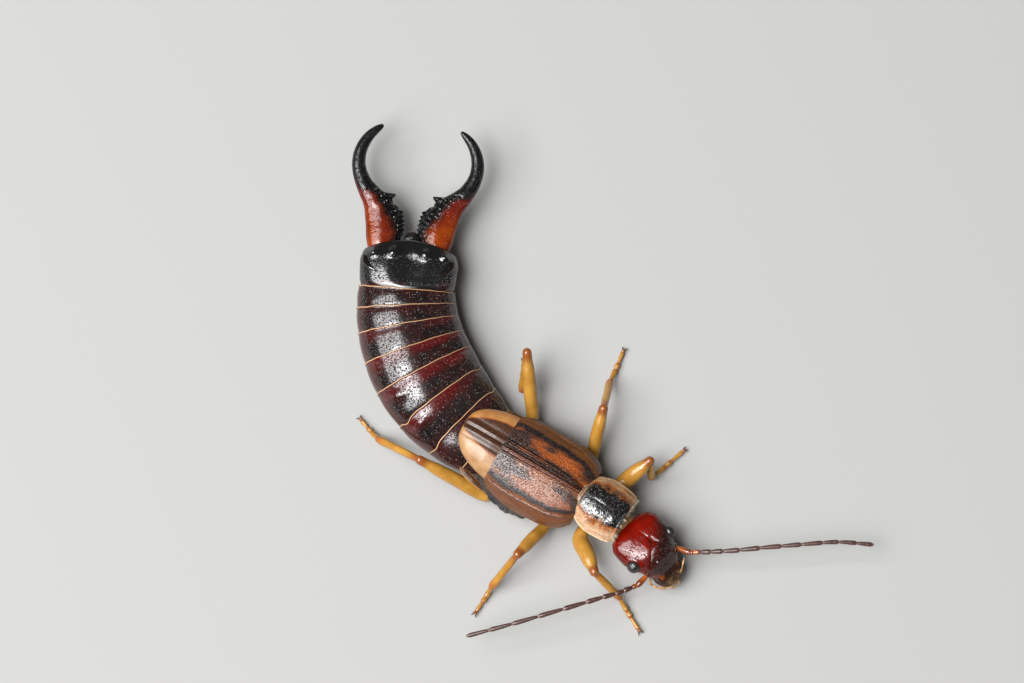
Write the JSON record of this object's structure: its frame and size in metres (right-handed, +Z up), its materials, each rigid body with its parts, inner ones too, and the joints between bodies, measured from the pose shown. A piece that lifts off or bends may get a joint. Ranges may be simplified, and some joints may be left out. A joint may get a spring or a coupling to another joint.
{
  "type": "earwig",
  "caption": "Life-size still model of a male common earwig: bent body, short wing cases, curved forceps, long feelers and splayed legs.",
  "frame": {"origin": "on the floor, under the middle of the outline seen from above", "axes": "+X forwards along the thorax, +Y to the animal's left, +Z up"},
  "size_m": [0.0232, 0.0156, 0.0026],
  "materials": {
    "abdomen": "glossy near-black brown horn with red flushes, densely pitted, pale rims",
    "abdomen_end": "glossy black horn, finely wrinkled and pitted",
    "forceps": "glossy orange-red horn at the root, black on the inner edge and along the curved arms",
    "thorax": "dull grey-brown horn with fine bristles",
    "wing_case": "satin chestnut leather, finely streaked, with amber side margins",
    "wing_tip": "satin cream and orange-brown folded wing",
    "prothorax": "glossy near-black shield with clear amber side margins",
    "neck": "dull tan, wrinkled",
    "head": "glossy deep red-brown horn, darker in front",
    "eye": "dark grey, finely faceted",
    "mouthparts": "orange-brown horn with pale feelers",
    "antenna_base": "glossy orange-brown",
    "antenna": "dull purplish brown beads with pale joints and fine down",
    "leg": "satin tan-yellow horn, more orange at the knees, with fine bristles"
  },
  "bodies": {
    "root": {"abdomen_1": "abdomen", "abdomen_2": "abdomen", "abdomen_3": "abdomen", "abdomen_4": "abdomen", "abdomen_end": "abdomen_end", "pygidium": "abdomen_end", "forceps_left": "forceps", "forceps_right": "forceps", "thorax": "thorax", "wing_case_left": "wing_case", "wing_case_right": "wing_case", "wing_tip_left": "wing_tip", "wing_tip_right": "wing_tip", "prothorax": "prothorax", "neck": "neck", "head": "head", "eye_left": "eye", "eye_right": "eye", "mouthparts": "mouthparts", "antenna_left_base": "antenna_base", "antenna_left": "antenna", "antenna_right_base": "antenna_base", "antenna_right": "antenna", "leg_front_left_femur": "leg", "leg_front_left_tibia": "leg", "leg_front_left_tarsus": "leg", "leg_front_right_femur": "leg", "leg_front_right_tibia": "leg", "leg_front_right_tarsus": "leg", "leg_middle_left_femur": "leg", "leg_middle_left_tibia": "leg", "leg_middle_left_tarsus": "leg", "leg_middle_right_femur": "leg", "leg_middle_right_tibia": "leg", "leg_middle_right_tarsus": "leg", "leg_hind_left_femur": "leg", "leg_hind_left_tibia": "leg", "leg_hind_left_tarsus": "leg", "leg_hind_right_femur": "leg", "leg_hind_right_tibia": "leg", "leg_hind_right_tarsus": "leg"}
  },
  "joints": []
}
